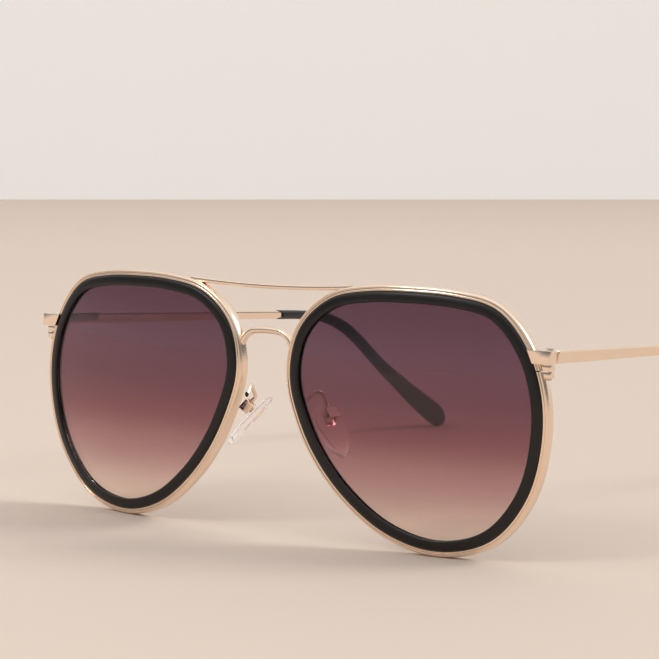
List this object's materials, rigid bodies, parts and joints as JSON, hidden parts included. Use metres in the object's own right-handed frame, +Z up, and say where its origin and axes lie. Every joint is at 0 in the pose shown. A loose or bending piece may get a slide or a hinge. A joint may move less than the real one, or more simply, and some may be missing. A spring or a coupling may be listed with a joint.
{
  "type": "aviator sunglasses",
  "caption": "Wire-front aviator sunglasses with black inner rings round gradient lenses, a brow bar, clear nose pads on wire arms and folding temples with black sleeves.",
  "frame": {"origin": "under the middle of the open glasses' box, on the surface that the rims and the temple tips stand on", "axes": "+Z is up, +Y runs back along the open temples, +X is the wearer's left"},
  "size_m": [0.1308, 0.158, 0.0537],
  "materials": {
    "gold_metal": "polished pale rose gold plating",
    "screw_steel": "small bright screws",
    "black_plastic": "black acetate with a soft shine",
    "gradient_lens": "tinted plum at the top to warm tan at the bottom",
    "clear_pad": "clear soft silicone"
  },
  "bodies": {
    "front": {"nose_bridge": "gold_metal", "brow_bar": "gold_metal", "rim_left": "gold_metal", "rim_right": "gold_metal", "inner_ring_left": "black_plastic", "inner_ring_right": "black_plastic", "lens_left": "gradient_lens", "lens_right": "gradient_lens", "closing_block_upper_left": "gold_metal", "closing_block_upper_right": "gold_metal", "closing_block_lower_left": "gold_metal", "closing_block_lower_right": "gold_metal", "closing_screw_left": "screw_steel", "closing_screw_right": "screw_steel", "end_piece_left": "gold_metal", "end_piece_right": "gold_metal", "hinge_front_left": "gold_metal", "hinge_front_right": "gold_metal", "hinge_screw_left": "screw_steel", "hinge_screw_right": "screw_steel", "pad_arm_left": "gold_metal", "pad_arm_right": "gold_metal", "pad_box_left": "gold_metal", "pad_box_right": "gold_metal", "pad_screw_left": "screw_steel", "pad_screw_right": "screw_steel"},
    "temple_left_body": {"hinge_temple_left": "gold_metal", "temple_left": "gold_metal", "temple_tip_left": "black_plastic"},
    "nose_pad_left_body": {"pad_mount_left": "gold_metal", "nose_pad_left": "clear_pad"},
    "temple_right_body": {"hinge_temple_right": "gold_metal", "temple_right": "gold_metal", "temple_tip_right": "black_plastic"},
    "nose_pad_right_body": {"pad_mount_right": "gold_metal", "nose_pad_right": "clear_pad"}
  },
  "joints": [
    {"name": "temple_left_fold", "type": "hinge", "parent": "front", "child": "temple_left_body", "pos_m": [0.06295, -0.0695, 0.04104], "axis": [0, 0.041, 0.9992], "range_deg": [0, 86]},
    {"name": "temple_right_fold", "type": "hinge", "parent": "front", "child": "temple_right_body", "pos_m": [-0.06295, -0.0695, 0.04104], "axis": [0, -0.041, -0.9992], "range_deg": [0, 78]},
    {"name": "nose_pad_left_rock", "type": "hinge", "parent": "front", "child": "nose_pad_left_body", "pos_m": [0.01125, -0.06883, 0.0255], "axis": [0.4117, 0.9083, 0.0745], "range_deg": [-10, 10]},
    {"name": "nose_pad_right_rock", "type": "hinge", "parent": "front", "child": "nose_pad_right_body", "pos_m": [-0.01125, -0.06883, 0.0255], "axis": [-0.4117, 0.9083, 0.0745], "range_deg": [-10, 10]}
  ]
}
